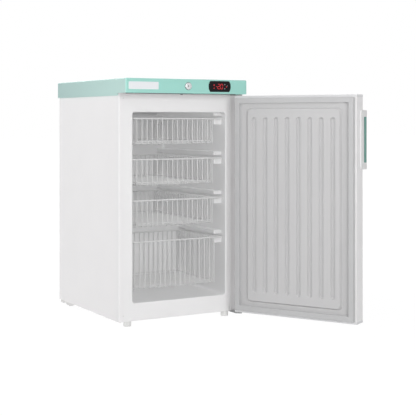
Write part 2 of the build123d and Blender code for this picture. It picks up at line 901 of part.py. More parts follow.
def basket_wires(level):
    near = basket_front + (rim_wire - wire) / 2
    far = basket_back(level) - (rim_wire - wire) / 2
    side = side_grille(level)
    floor, cross = basket_floor(level)
    wires = Compound([
        end_grille(level, near, 1), end_grille(level, far, -1), side, mirrored(side), floor, *cross,
    ])
    return Pos(basket_middle(), 0, 0) * wires


# Door
def opened(shape):
    return Pos(pivot_x, pivot_y, 0) * Rot(0, 0, open_angle) * Pos(-pivot_x, -pivot_y, 0) * shape


def door_skin():
    shell = block(both(door_half), (door_outer, door_inner), (slab_bottom, slab_top))
    shell = fillet(shell.edges().filter_by(Axis.Z).sort_by(Axis.Y)[:2], door_radius)
    inside = block(both(door_half - skin), (door_outer + skin, door_inner - skin), (0, total_height))
    inside = fillet(inside.edges().filter_by(Axis.Z).sort_by(Axis.Y)[:2], door_radius - skin)
    window = block(both(liner_half()), (door_inner - skin - 1, 0), (0, total_height))
    return shell - inside - window


def liner_half():
    return door_half - front_return + 1


def liner_sheet():
    return block(both(liner_half()), (door_inner - plastic, door_inner), (slab_bottom, slab_top))


def door_middle():
    return (door_bottom + door_top) / 2


def raised_panel(grow):
    # The liner's raised field with its upright grooves; grow moves the surface into the door
    wide = 2 * (door_half - panel_inset - grow)
    tall = door_top - door_bottom - 2 * (panel_end_inset + grow)
    field = Pos(0, door_middle()) * RectangleRounded(wide, tall, panel_radius)
    low = door_inner - grow
    panel = extrude(facing_back(low) * field, panel_rise, taper=panel_draft)
    reach = groove_pitch * (groove_count - 1) / 2
    long = tall - 2 * groove_end_inset + 4 * grow
    slots = []
    for x in spread(-reach, reach, groove_count):
        slot = Pos(x, door_middle()) * Rot(0, 0, 90) * SlotOverall(long, groove_width + 2 * grow)
        slots.append(extrude(facing_front(low + panel_rise) * slot, groove_depth, taper=groove_draft))
    return panel - slots


def door_liner():
    back_half = block(both(door_half), (door_inner - plastic, 0), (0, total_height))
    return liner_sheet() + raised_panel(0) - (raised_panel(plastic) & back_half)


def bush_block(low, high):
    return block((pivot_x - 6.5, door_half - skin), (pivot_y - 7, pivot_y + 7), (low, high))


def door_foam():
    fill = block(both(door_half - skin), (door_outer + skin, door_inner - skin), (slab_bottom, slab_top))
    fill = fillet(fill.edges().filter_by(Axis.Z).sort_by(Axis.Y)[:2], door_radius - skin)
    fill = fill - liner_sheet() + raised_panel(plastic)
    return fill - bush_block(slab_bottom, slab_bottom + 16) - bush_block(slab_top - 16, slab_top)


def door_cap(low, high):
    reach = door_half + cap_lip
    cap = block(both(reach), (door_outer - cap_lip, door_inner), (low, high))
    cap = fillet(cap.edges().filter_by(Axis.Z).sort_by(Axis.Y)[:2], door_radius + cap_lip)
    cap = fillet(cap.edges().filter_by(Axis.Z).sort_by(Axis.Y)[-2:], 1.5)
    return cap - rod((pivot_x, pivot_y, low - 1), (pivot_x, pivot_y, high + 1), 5)


def door_top_cap():
    cap = door_cap(slab_top, door_top)
    middle = cam_back() - cam_thickness / 2
    keeper = block(both(cam_tip_radius + 2), (middle - 6, middle + 6), (slab_top - 1, door_top + 1))
    return cap - fillet(keeper.edges().filter_by(Axis.Z), 3)


def door_bottom_cap():
    return door_cap(door_bottom, slab_bottom)


def door_bushes():
    # Nylon bushes with a washer that carries the door on the lower plate
    low = rod((pivot_x, pivot_y, base + 0.1), (pivot_x, pivot_y, door_bottom), pivot_inset)
    low += rod((pivot_x, pivot_y, door_bottom), (pivot_x, pivot_y, slab_bottom), 5)
    low += bush_block(slab_bottom, slab_bottom + 16)
    high = rod((pivot_x, pivot_y, door_top), (pivot_x, pivot_y, door_top + 1.5), pivot_inset)
    high += rod((pivot_x, pivot_y, slab_top), (pivot_x, pivot_y, door_top), 5)
    high += bush_block(slab_top - 16, slab_top)
    bore = rod((pivot_x, pivot_y, base - 1), (pivot_x, pivot_y, slab_bottom + 13), pin_radius + running_clearance)
    top_bore = rod((pivot_x, pivot_y, slab_top - 13), (pivot_x, pivot_y, door_top + 3),
                   pin_radius + running_clearance)
    return Compound([low - bore, high - top_bore])


def gasket_section(out):
    # Bellows section: distance inwards from the gasket's outer edge, and Y
    seat, lip = door_inner, -gasket_gap
    points = [
        (0, seat), (20, seat), (20, seat + 2.5), (15, seat + 4), (15, seat + 5.5), (19, seat + 7),
        (19, lip - 1), (18, lip), (2, lip), (1, lip - 1), (1, seat + 7), (5, seat + 5.5),
        (5, seat + 4), (0, seat + 2.5),
    ]
    scale = gasket_width / 20
    return [(out - across * scale, y) for across, y in points]


def door_gasket():
    half = door_half - gasket_inset
    low, high = slab_bottom, slab_top
    middle = door_middle()
    tall = (high - low) / 2
    deep = gasket_width
    upright = plan_profile(gasket_section(half), (low, high))
    corner = [(half, low), (half - deep, low + deep), (half - deep, high - deep), (half, high)]
    mitre = extrude(facing_front(0) * outline(corner), door_seat + 1)
    right = upright & mitre
    level = [(y, z + middle) for z, y in gasket_section(tall)]
    top = side_profile(level, both(half))
    corner = [(-half, high), (deep - half, high - deep), (half - deep, high - deep), (half, high)]
    mitre = extrude(facing_front(0) * outline(corner), door_seat + 1)
    top = top & mitre
    bottom = mirror(top, Plane(origin=(0, 0, middle), z_dir=(0, 0, 1)))
    return Compound([right, mirrored(right), top, bottom])


# Handle
def handle_mount():
    side = -door_half
    low = handle_bottom
    high = low + handle_length
    front = door_outer - handle_reach
    strip = block((side - handle_plate, side), (door_outer + 0.5, door_inner - handle_set_back), (low, high))
    strip = fillet(strip.edges().filter_by(Axis.X).sort_by(Axis.Y)[-2:], 10)
    inner = side - handle_plate + grip_width
    points = [
        (side - handle_plate, door_outer + 0.5), (side - handle_plate, front), (inner, front),
        (inner, front + grip_thickness), (side + 2, front + grip_thickness), (side + 2, door_outer),
        (side, door_outer), (side, door_outer + 0.5),
    ]
    arm = plan_profile(points, (low, low + arm_height))
    arm = fillet(arm.edges().filter_by(Axis.Z).sort_by(Axis.Y)[:2], 3)
    upper = Pos(0, 0, handle_length - arm_height) * arm
    return strip + arm + upper


def handle_grip():
    side = -door_half - handle_plate
    front = door_outer - handle_reach
    low = handle_bottom + arm_height
    high = low + handle_length - 2 * arm_height
    bar = block((side + 1, side + grip_width), (front + 0.5, front + grip_thickness - 0.5), (low, high))
    return fillet(bar.edges().filter_by(Axis.Z), 3)


# Every sub-part, under the name of its file
made["outer_case"] = outer_case()
made["back_panel"] = back_panel()
made["base_panel"] = base_panel()
made["inner_liner"] = inner_liner()
made["insulation_foam"] = insulation_foam()
made["niche_panel"] = niche_panel()
made["evaporator_coil"] = evaporator_coil()
made["condenser_loop"] = condenser_loop()
made["lid_cover"] = lid_cover()
made["worktop_core"] = worktop_core()
made["fascia_tray"] = fascia_tray()
made["badge_plate"] = badge_plate()
made["controller_bezel"] = controller_bezel()
made["controller_window"] = controller_window()
made["display_segments"] = display_segments()
made["key_marks"] = key_marks()
made["controller_body"] = controller_body()
made["lock_housing"] = lock_housing()
made["lock_nut"] = lock_nut()
made["lock_plug"] = lock_plug()
made["lock_cam"] = lock_cam()
made["top_hinge_bracket"] = top_hinge_bracket()
made["bottom_hinge_bracket"] = bottom_hinge_bracket()
made["cabinet_screws"] = cabinet_screws()
made["hinge_hole_plugs"] = hinge_hole_plugs()
made["compressor_tray"] = compressor_tray()
made["compressor"] = compressor()
made["compressor_grommets"] = compressor_grommets()
made["terminal_box"] = terminal_box()
made["filter_drier"] = filter_drier()
made["refrigerant_pipes"] = refrigerant_pipes()
made["cable_gland"] = cable_gland()
made["drain_plug"] = drain_plug()
made["foot_inserts"] = foot_insert_pair()
made["front_foot_left"] = front_foot(foot_places()[0])
made["front_foot_right"] = front_foot(foot_places()[1])
made["roller_brackets"] = roller_brackets()
made["roller_axles"] = roller_axles()
made["rear_roller_left"] = mirrored(rear_roller())
made["rear_roller_right"] = rear_roller()
made["door_skin"] = opened(door_skin())
made["door_foam"] = opened(door_foam())
made["door_liner"] = opened(door_liner())
made["door_gasket"] = opened(door_gasket())
made["door_top_cap"] = opened(door_top_cap())
made["door_bottom_cap"] = opened(door_bottom_cap())
made["door_bushes"] = opened(door_bushes())
made["handle_mount"] = opened(handle_mount())
made["handle_grip"] = opened(handle_grip())
for level in range(basket_count):
    made[f"basket_{level + 1}_rim"] = basket_rim(level)
    made[f"basket_{level + 1}_wires"] = basket_wires(level)

os.makedirs("parts", exist_ok=True)
for name, shape in made.items():
    export_step(shape, f"parts/{name}.step")
    print(name, "solids", len(shape.solids()), "volume", round(shape.volume))
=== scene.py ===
import bpy
import bmesh
import json
import math
from mathutils import Matrix, Vector


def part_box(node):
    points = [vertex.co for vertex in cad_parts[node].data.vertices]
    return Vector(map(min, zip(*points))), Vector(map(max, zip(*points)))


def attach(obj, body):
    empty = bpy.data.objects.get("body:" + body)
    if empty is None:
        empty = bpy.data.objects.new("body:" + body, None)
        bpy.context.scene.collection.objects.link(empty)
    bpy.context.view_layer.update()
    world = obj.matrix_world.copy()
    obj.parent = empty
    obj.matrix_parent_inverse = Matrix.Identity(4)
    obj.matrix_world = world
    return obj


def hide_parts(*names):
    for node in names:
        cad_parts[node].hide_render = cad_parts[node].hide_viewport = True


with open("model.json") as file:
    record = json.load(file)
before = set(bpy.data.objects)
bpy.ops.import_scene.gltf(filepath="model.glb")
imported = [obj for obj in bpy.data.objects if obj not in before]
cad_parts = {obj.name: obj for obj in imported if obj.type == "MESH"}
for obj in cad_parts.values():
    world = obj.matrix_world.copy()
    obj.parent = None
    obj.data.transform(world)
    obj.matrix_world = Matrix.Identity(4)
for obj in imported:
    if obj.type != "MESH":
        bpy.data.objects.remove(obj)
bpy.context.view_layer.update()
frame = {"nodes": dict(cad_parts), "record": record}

mm = 0.001
mergeReach = 0.000005    # corners closer than this are one corner
print("frame loaded:", len(frame["nodes"]), "sub-parts")

# The room: camera, lamps, sky and floor
studio = {
    "cameraPlace": (-1.71476, -3.18817, 0.70773),
    "cameraTurn": -29.97,
    "lens": 89.54,
    "shiftX": -0.00387,
    "shiftY": -0.2141,
    "skyStrength": 0.22,
    "floorColour": (0.9, 0.9, 0.9, 1),
    "floorGlow": 0.9,
    "glowStrength": 1.04,
    "glowNear": 0.7,
    "glowFar": 2.2,
    "floorReach": 30,
    "lamps": {
        "frontSoft": {"place": (-0.5, -4.3, 1.2), "aim": (0, 0.2, 0.45), "size": 1.8, "power": 83},
        "evenSoft": {
            "place": (-2.1, -1.0, 3.6), "aim": (0, 0.2, 0.45), "size": 2.4, "power": 72, "shadow": False,
        },
        "leftSoft": {"place": (-3.5, 1.6, 1.4), "aim": (0, 0.3, 0.4), "size": 2.2, "power": 38},
        "backFill": {"place": (0.9, 3.8, 1.8), "aim": (0, 0.3, 0.4), "size": 2.6, "power": 50},
    },
}


def newObject(name, data):
    thing = bpy.data.objects.new(name, data)
    bpy.context.scene.collection.objects.link(thing)
    return thing


def aimAt(thing, target):
    direction = Vector(target) - thing.location
    thing.rotation_euler = direction.to_track_quat("-Z", "Y").to_euler()


def buildCamera():
    lensData = bpy.data.cameras.new("photoCamera")
    lensData.sensor_width = 36
    lensData.lens = studio["lens"]
    lensData.shift_x = studio["shiftX"]
    lensData.shift_y = studio["shiftY"]
    camera = newObject("photoCamera", lensData)
    camera.location = studio["cameraPlace"]
    camera.rotation_euler = (math.radians(90), 0, math.radians(studio["cameraTurn"]))
    bpy.context.scene.camera = camera


def buildLamps():
    for name, lamp in studio["lamps"].items():
        lampData = bpy.data.lights.new(name, "AREA")
        lampData.size = lamp["size"]
        lampData.energy = lamp["power"]
        lampData.use_shadow = lamp.get("shadow", True)
        lampObject = newObject(name, lampData)
        lampObject.location = lamp["place"]
        aimAt(lampObject, lamp["aim"])


def seenDirectly(tree):
    # 1 for what the camera sees straight, in a reflection or through glass
    path = tree.nodes.new("ShaderNodeLightPath")
    first = tree.nodes.new("ShaderNodeMath")
    first.operation = "MAXIMUM"
    second = tree.nodes.new("ShaderNodeMath")
    second.operation = "MAXIMUM"
    tree.links.new(path.outputs["Is Camera Ray"], first.inputs[0])
    tree.links.new(path.outputs["Is Glossy Ray"], first.inputs[1])
    tree.links.new(first.outputs[0], second.inputs[0])
    tree.links.new(path.outputs["Is Transmission Ray"], second.inputs[1])
    return second.outputs[0]


def buildSky():
    sky = bpy.data.worlds.new("paleStudio")
    bpy.context.scene.world = sky
    sky.use_nodes = True
    tree = sky.node_tree
    tree.nodes.clear()
    output = tree.nodes.new("ShaderNodeOutputWorld")
    lighting = tree.nodes.new("ShaderNodeBackground")
    lighting.inputs["Strength"].default_value = studio["skyStrength"]
    lighting.inputs["Color"].default_value = (1, 1, 1, 1)
    shown = tree.nodes.new("ShaderNodeBackground")
    shown.inputs["Color"].default_value = (1, 1, 1, 1)
    mixer = tree.nodes.new("ShaderNodeMixShader")
    tree.links.new(seenDirectly(tree), mixer.inputs[0])
    tree.links.new(lighting.outputs[0], mixer.inputs[1])
    tree.links.new(shown.outputs[0], mixer.inputs[2])
    tree.links.new(mixer.outputs[0], output.inputs["Surface"])


def buildFloor():
    mesh = bpy.data.meshes.new("studioFloor")
    reach = studio["floorReach"]
    corners = [(-reach, -reach, 0), (reach, -reach, 0), (reach, reach, 0), (-reach, reach, 0)]
    mesh.from_pydata(corners, [], [(0, 1, 2, 3)])
    floor = newObject("studioFloor", mesh)
    finish = bpy.data.materials.new("paleFloor")
    finish.use_nodes = True
    tree = finish.node_tree
    tree.nodes.clear()
    output = tree.nodes.new("ShaderNodeOutputMaterial")
    matt = tree.nodes.new("ShaderNodeBsdfDiffuse")
    matt.inputs["Color"].default_value = studio["floorColour"]
    glow = tree.nodes.new("ShaderNodeEmission")
    glow.inputs["Strength"].default_value = studio["glowStrength"]
    # The floor keeps a soft shadow near the object and runs out into plain white
    place = tree.nodes.new("ShaderNodeTexCoord")
    away = tree.nodes.new("ShaderNodeVectorMath")
    away.operation = "LENGTH"
    share = tree.nodes.new("ShaderNodeMapRange")
    share.inputs["From Min"].default_value = studio["glowNear"]
    share.inputs["From Max"].default_value = studio["glowFar"]
    share.inputs["To Min"].default_value = studio["floorGlow"]
    tree.links.new(place.outputs["Object"], away.inputs[0])
    tree.links.new(away.outputs["Value"], share.inputs["Value"])
    scaled = tree.nodes.new("ShaderNodeMath")
    scaled.operation = "MULTIPLY"
    tree.links.new(share.outputs[0], scaled.inputs[1])
    mixer = tree.nodes.new("ShaderNodeMixShader")
    tree.links.new(seenDirectly(tree), scaled.inputs[0])
    tree.links.new(scaled.outputs[0], mixer.inputs[0])
    tree.links.new(matt.outputs[0], mixer.inputs[1])
    tree.links.new(glow.outputs[0], mixer.inputs[2])
    tree.links.new(mixer.outputs[0], output.inputs["Surface"])
    mesh.materials.append(finish)


buildCamera()
buildLamps()
buildSky()
buildFloor()
bpy.context.scene.view_settings.view_transform = "Standard"
print("studio ready")


# Helpers that wire up one finish
def mathNode(tree, operation, first, second):
    node = tree.nodes.new("ShaderNodeMath")
    node.operation = operation
    for socket, value in zip(node.inputs, (first, second)):
        if isinstance(value, (int, float)):
            socket.default_value = value
        else:
            tree.links.new(value, socket)
    return node.outputs[0]


def stretchedPlace(tree, place, stretch):
    mapping = tree.nodes.new("ShaderNodeMapping")
    mapping.inputs["Scale"].default_value = stretch
    tree.links.new(place, mapping.inputs["Vector"])
    return mapping.outputs[0]


def noiseNode(tree, place, size, detail=2.0, stretch=None):
    # size is the width of one blotch in metres
    if stretch:
        place = stretchedPlace(tree, place, stretch)
    noise = tree.nodes.new("ShaderNodeTexNoise")
    noise.inputs["Scale"].default_value = 1 / size
    noise.inputs["Detail"].default_value = detail
    tree.links.new(place, noise.inputs["Vector"])
    return noise.outputs["Fac"]


def cellNode(tree, place, size):
    cells = tree.nodes.new("ShaderNodeTexVoronoi")
    cells.feature = "F1"
    cells.inputs["Scale"].default_value = 1 / size
    tree.links.new(place, cells.inputs["Vector"])
    return cells.outputs["Distance"]


def rampNode(tree, value, stops):
    ramp = tree.nodes.new("ShaderNodeValToRGB")
    tree.links.new(value, ramp.inputs[0])
    handles = ramp.color_ramp.elements
    while len(handles) < len(stops):
        handles.new(0.5)
    for handle, (place, colour) in zip(handles, stops):
        handle.position = place
        handle.color = (*colour, 1)
    return ramp.outputs[0]


def rangeNode(tree, value, low, high):
    node = tree.nodes.new("ShaderNodeMapRange")
    tree.links.new(value, node.inputs["Value"])
    node.inputs["To Min"].default_value = low
    node.inputs["To Max"].default_value = high
    return node.outputs[0]


def bumpNode(tree, height, depth, strength=1.0, below=None):
    bump = tree.nodes.new("ShaderNodeBump")
    bump.inputs["Distance"].default_value = depth
    bump.inputs["Strength"].default_value = strength
    tree.links.new(height, bump.inputs["Height"])
    if below:
        tree.links.new(below, bump.inputs["Normal"])
    return bump.outputs[0]


def shaded(colour, factor):
    return tuple(min(1.0, part * factor) for part in colour)


def mixedColour(tree, share, under, over):
    mixer = tree.nodes.new("ShaderNodeMix")
    mixer.data_type = "RGBA"
    tree.links.new(share, mixer.inputs[0])
    for socket, value in zip(mixer.inputs[6:8], (under, over)):
        if isinstance(value, tuple):
            socket.default_value = (*value, 1)
        else:
            tree.links.new(value, socket)
    return mixer.outputs[2]


def axisOf(tree, place, axis):
    parts = tree.nodes.new("ShaderNodeSeparateXYZ")
    tree.links.new(place, parts.inputs[0])
    return parts.outputs[axis]


def fleckedPaint(tree, place, paint, look):
    flecks = noiseNode(tree, place, look["fleck"], 1)
    mask = rangeNode(tree, flecks, look["fleckFrom"], 1.0)
    share = mathNode(tree, "MULTIPLY", mask, look["fleckAmount"])
    return mixedColour(tree, share, paint, look["fleckColour"])


def rimAndHollowShade(tree, place, paint, look):
    # The rim round the mouth keeps the case's white; the hollow behind it gets the darker colour, painted
    # shade
    inPaintedShade = mathNode(tree, "GREATER_THAN", axisOf(tree, place, "Y"), look["hollowShadeDepth"])
    return mixedColour(tree, inPaintedShade, look["frontColour"], paint)


def skirtPaintedShade(tree, place, paint, look):
    # The side skirts are painted greyer than the fascia and darker towards the back: painted shade
    paintedSkirtShade = rampNode(tree, rangeNode(tree, axisOf(tree, place, "Y"), 0.0, 1.0), [
        (0.0, look["skirtShadeNear"]), (look["skirtShadeReach"], look["skirtShadeFar"]),
    ])
    sideways = mathNode(tree, "ABSOLUTE", axisOf(tree, place, "X"), 0)
    outside = mathNode(tree, "GREATER_THAN", sideways, look["skirtStart"])
    return mixedColour(tree, outside, paint, paintedSkirtShade)


def makeFinish(name, look):
    # drift is how far the colour wanders, blotch, grain and wave are widths in metres, and rough is
    # the lowest and highest roughness
    finish = bpy.data.materials.new(name)
    finish.use_nodes = True
    tree = finish.node_tree
    shader = tree.nodes["Principled BSDF"]
    place = tree.nodes.new("ShaderNodeTexCoord").outputs["Object"]
    colour = look["colour"]
    drift = look.get("drift", 0.03)
    blotches = noiseNode(tree, place, look.get("blotch", 0.12), 3)
    paint = rampNode(tree, blotches, [(0.3, shaded(colour, 1 - drift)), (0.7, colour)])
    if "fleck" in look:
        paint = fleckedPaint(tree, place, paint, look)
    if "frontColour" in look:
        paint = rimAndHollowShade(tree, place, paint, look)
    if "skirtShadeNear" in look:
        paint = skirtPaintedShade(tree, place, paint, look)
    tree.links.new(paint, shader.inputs["Base Color"])
    rough = noiseNode(tree, place, look.get("wear", 0.05), 4, look.get("stretch"))
    low, high = look["rough"]
    tree.links.new(rangeNode(tree, rough, low, high), shader.inputs["Roughness"])
    if look.get("cells"):
        height = cellNode(tree, place, look["grain"])
    else:
        height = noiseNode(tree, place, look["grain"], 2, look.get("stretch"))
    normal = bumpNode(tree, height, look["grainDepth"], look.get("grainStrength", 0.6))
    if "wave" in look:
        slow = noiseNode(tree, place, look["wave"], 1)
        normal = bumpNode(tree, slow, look["waveDepth"], 0.5, normal)
    tree.links.new(normal, shader.inputs["Normal"])
    shader.inputs["Metallic"].default_value = look.get("metal", 0.0)
    shader.inputs["IOR"].default_value = look.get("ior", 1.45)
    shader.inputs["Coat Weight"].default_value = look.get("coat", 0.0)
    if "glow" in look:
        shader.inputs["Emission Color"].default_value = (*colour, 1)
        shader.inputs["Emission Strength"].default_value = look["glow"]
    return finish


finishLooks = {
    "powderWhite": {
        "colour": (0.82, 0.81, 0.815), "drift": 0.015, "rough": (0.36, 0.46), "grain": 0.0016,
        "grainDepth": 0.00006, "wave": 0.25, "waveDepth": 0.0006,
    },
    "galvanisedSheet": {
        "colour": (0.56, 0.57, 0.58), "drift": 0.22, "blotch": 0.018, "rough": (0.3, 0.5), "metal": 0.85,
        "grain": 0.012, "grainDepth": 0.00008, "cells": True,
    },
    "linerPlastic": {
        "colour": (0.74, 0.74, 0.743), "drift": 0.02, "rough": (0.34, 0.46), "grain": 0.0012,
        "grainDepth": 0.00004, "wave": 0.18, "waveDepth": 0.0008,
        # frontColour is the rim's own white; colour, the darker hollow, is painted shade
        "frontColour": (0.82, 0.815, 0.818), "hollowShadeDepth": 0.003,
    },
    # The door liner is the liner plastic painted darker: painted shade
    "doorLinerPaintedShade": {
        "colour": (0.545, 0.541, 0.545), "drift": 0.03, "blotch": 0.2, "rough": (0.3, 0.42), "grain": 0.0012,
        "grainDepth": 0.00004, "wave": 0.15, "waveDepth": 0.0009,
    },
    "insulationFoam": {
        "colour": (0.78, 0.66, 0.36), "drift": 0.2, "blotch": 0.02, "rough": (0.85, 0.95), "grain": 0.0025,
        "grainDepth": 0.0012, "cells": True,
    },
    "lidMint": {
        "colour": (0.34, 0.66, 0.59), "drift": 0.02, "rough": (0.3, 0.4), "grain": 0.0018,
        "grainDepth": 0.00005, "wave": 0.3, "waveDepth": 0.0006,
        # The skirt colours are painted shade, greyer and darker towards the back
        "skirtShadeNear": (0.45, 0.65, 0.61), "skirtShadeFar": (0.34, 0.5, 0.48), "skirtStart": 0.2368,
        "skirtShadeReach": 0.55,
    },
    "chipboard": {
        "colour": (0.6, 0.45, 0.28), "drift": 0.25, "blotch": 0.006, "rough": (0.75, 0.9), "grain": 0.002,
        "grainDepth": 0.0006, "stretch": (1, 0.3, 1), "fleck": 0.004, "fleckColour": (0.32, 0.2, 0.1),
        "fleckFrom": -1.2, "fleckAmount": 0.3,
    },
    # Near black for the fascia tray, the strip under the fascia and the ring round the lock: painted shade
    "paintedShadeGrey": {
        "colour": (0.1, 0.1, 0.105), "drift": 0.12, "rough": (0.5, 0.65), "grain": 0.0008,
        "grainDepth": 0.00015,
    },
    "badgeSatin": {
        "colour": (0.8, 0.82, 0.84), "drift": 0.015, "rough": (0.25, 0.32), "grain": 0.0006,
        "grainDepth": 0.00002,
    },
    "bezelBlack": {
        "colour": (0.014, 0.013, 0.014), "drift": 0.2, "rough": (0.16, 0.26), "grain": 0.001,
        "grainDepth": 0.00003, "ior": 1.25,
    },
    "windowDark": {
        "colour": (0.012, 0.01, 0.012), "drift": 0.25, "rough": (0.08, 0.16), "grain": 0.002,
        "grainDepth": 0.00001, "ior": 1.22,
    },
    "lampRed": {
        "colour": (0.62, 0.025, 0.03), "drift": 0.1, "blotch": 0.004, "rough": (0.25, 0.35), "grain": 0.0006,
        "grainDepth": 0.00002, "glow": 0.2,
    },
    "markGrey": {
        "colour": (0.35, 0.35, 0.36), "drift": 0.1, "blotch": 0.004, "rough": (0.45, 0.55), "grain": 0.0006,
        "grainDepth": 0.00002,
    },
    "controllerCase": {
        "colour": (0.05, 0.05, 0.055), "drift": 0.15, "rough": (0.5, 0.62), "grain": 0.0009,
        "grainDepth": 0.00012,
    },
    "chromePlate": {
        "colour": (0.74, 0.75, 0.76), "drift": 0.03, "rough": (0.08, 0.2), "metal": 1.0, "grain": 0.0006,
        "grainDepth": 0.00002, "wear": 0.008,
    },
    "zincPlate": {
        "colour": (0.55, 0.55, 0.53), "drift": 0.12, "blotch": 0.01, "rough": (0.28, 0.48), "metal": 0.9,
        "grain": 0.0012, "grainDepth": 0.00006, "wear": 0.006,
    },
    "hingePaint": {
        "colour": (0.3, 0.31, 0.31), "drift": 0.1, "rough": (0.4, 0.55), "metal": 0.5, "grain": 0.001,
        "grainDepth": 0.00008,
    },
    "nylonWhite": {
        "colour": (0.72, 0.72, 0.71), "drift": 0.04, "blotch": 0.02, "rough": (0.42, 0.55), "grain": 0.0009,
        "grainDepth": 0.00008,
    },
    "copperTube": {
        "colour": (0.62, 0.3, 0.17), "drift": 0.3, "blotch": 0.02, "rough": (0.25, 0.45), "metal": 1.0,
        "grain": 0.0015, "grainDepth": 0.00005, "wear": 0.012,
    },
    "compressorEnamel": {
        "colour": (0.02, 0.02, 0.021), "drift": 0.2, "rough": (0.28, 0.45), "grain": 0.0022,
        "grainDepth": 0.0002, "wear": 0.02,
    },
    "rubberBlack": {
        "colour": (0.03, 0.03, 0.03), "drift": 0.2, "rough": (0.7, 0.85), "grain": 0.0012,
        "grainDepth": 0.00015,
    },
    "gasketVinyl": {
        "colour": (0.5, 0.5, 0.505), "drift": 0.03, "rough": (0.5, 0.62), "grain": 0.001,
        "grainDepth": 0.00008, "wave": 0.05, "waveDepth": 0.0004,
    },
    "capPlastic": {
        "colour": (0.7, 0.7, 0.71), "drift": 0.02, "rough": (0.4, 0.5), "grain": 0.001,
        "grainDepth": 0.00006,
    },
    "wireCoat": {
        "colour": (0.66, 0.66, 0.66), "drift": 0.04, "blotch": 0.03, "rough": (0.3, 0.4), "grain": 0.003,
        "grainDepth": 0.00003,
    },
    "handleWhite": {
        "colour": (0.75, 0.75, 0.75), "drift": 0.02, "rough": (0.35, 0.45), "grain": 0.0009,
        "grainDepth": 0.00006,
    },
    "handleMint": {
        "colour": (0.12, 0.27, 0.235), "drift": 0.05, "rough": (0.35, 0.45), "grain": 0.0009,
        "grainDepth": 0.00006,
    },
}
finishes = {name: makeFinish(name, look) for name, look in finishLooks.items()}

slotFinish = {
    "case_white": "powderWhite", "galvanised": "galvanisedSheet", "liner_white": "linerPlastic",
    "foam": "insulationFoam", "lid_teal": "lidMint", "board": "chipboard", "tray_grey": "paintedShadeGrey",
    "badge_white": "badgeSatin", "bezel_black": "bezelBlack", "window_dark": "windowDark",
    "lamp_red": "lampRed", "mark_grey": "markGrey", "controller_case": "controllerCase",
    "chrome_bright": "chromePlate", "zinc_steel": "zincPlate", "hinge_steel": "hingePaint",
    "nylon_white": "nylonWhite", "copper": "copperTube", "compressor_black": "compressorEnamel",
    "rubber_black": "rubberBlack", "gasket_white": "gasketVinyl", "cap_white": "capPlastic",
    "wire_white": "wireCoat", "handle_white": "handleWhite", "handle_teal": "handleMint",
}

# Pieces whose finish differs from the others of their slot; the door liner's darker plastic is painted shade
# The lock cam gets the dark hinge paint as painted shade under the fascia
ownFinish = {"door_liner": "doorLinerPaintedShade", "lock_cam": "hingePaint"}

for part in frame["record"]["subparts"]:
    node = frame["nodes"][part["node"]]
    node.data.materials.clear()
    node.data.materials.append(finishes[ownFinish.get(part["node"], slotFinish[part["material_slot"]])])
print("finishes made:", len(finishes))


# Wires, pipes and screws are made by rule
wireShape = {"bendSteps": 5, "sides": 10}


def addSocket(tree, name, kind, way="INPUT"):
    return tree.interface.new_socket(name, in_out=way, socket_type=kind)


def linked(tree, source, node, socket):
    tree.links.new(source, node.inputs[socket])


def makeWireTree():
    # A path of straight edges becomes a bent round wire, repeated at an even pitch
    tree = bpy.data.node_groups.new("bentWireRow", "GeometryNodeTree")
    addSocket(tree, "Path", "NodeSocketGeometry")
    addSocket(tree, "Wire Radius", "NodeSocketFloat")
    addSocket(tree, "Bend Radius", "NodeSocketFloat")
    addSocket(tree, "Count", "NodeSocketInt")
    addSocket(tree, "Pitch", "NodeSocketVector")
    addSocket(tree, "Finish", "NodeSocketMaterial")
    addSocket(tree, "Wires", "NodeSocketGeometry", "OUTPUT")
    make = tree.nodes.new
    given = make("NodeGroupInput").outputs
    path = make("GeometryNodeMeshToCurve")
    bends = make("GeometryNodeFilletCurve")
    bends.mode = "POLY"
    bends.inputs["Count"].default_value = wireShape["bendSteps"]
    section = make("GeometryNodeCurvePrimitiveCircle")
    section.inputs["Resolution"].default_value = wireShape["sides"]
    sweep = make("GeometryNodeCurveToMesh")
    sweep.inputs["Fill Caps"].default_value = True
    smooth = make("GeometryNodeSetShadeSmooth")
    row = make("GeometryNodeMeshLine")
    repeat = make("GeometryNodeInstanceOnPoints")
    real = make("GeometryNodeRealizeInstances")
    paint = make("GeometryNodeSetMaterial")
    result = make("NodeGroupOutput")
    linked(tree, given["Path"], path, "Mesh")
    linked(tree, path.outputs[0], bends, "Curve")
    linked(tree, given["Bend Radius"], bends, "Radius")
    linked(tree, given["Wire Radius"], section, "Radius")
    linked(tree, bends.outputs[0], sweep, "Curve")
    linked(tree, section.outputs[0], sweep, "Profile Curve")
    linked(tree, sweep.outputs[0], smooth, "Geometry")
    linked(tree, given["Count"], row, "Count")
    linked(tree, given["Pitch"], row, "Offset")
    linked(tree, row.outputs[0], repeat, "Points")
    linked(tree, smooth.outputs[0], repeat, "Instance")
    linked(tree, repeat.outputs[0], real, "Geometry")
    linked(tree, real.outputs[0], paint, "Geometry")
    linked(tree, given["Finish"], paint, "Material")
    linked(tree, paint.outputs[0], result, "Wires")
    return tree


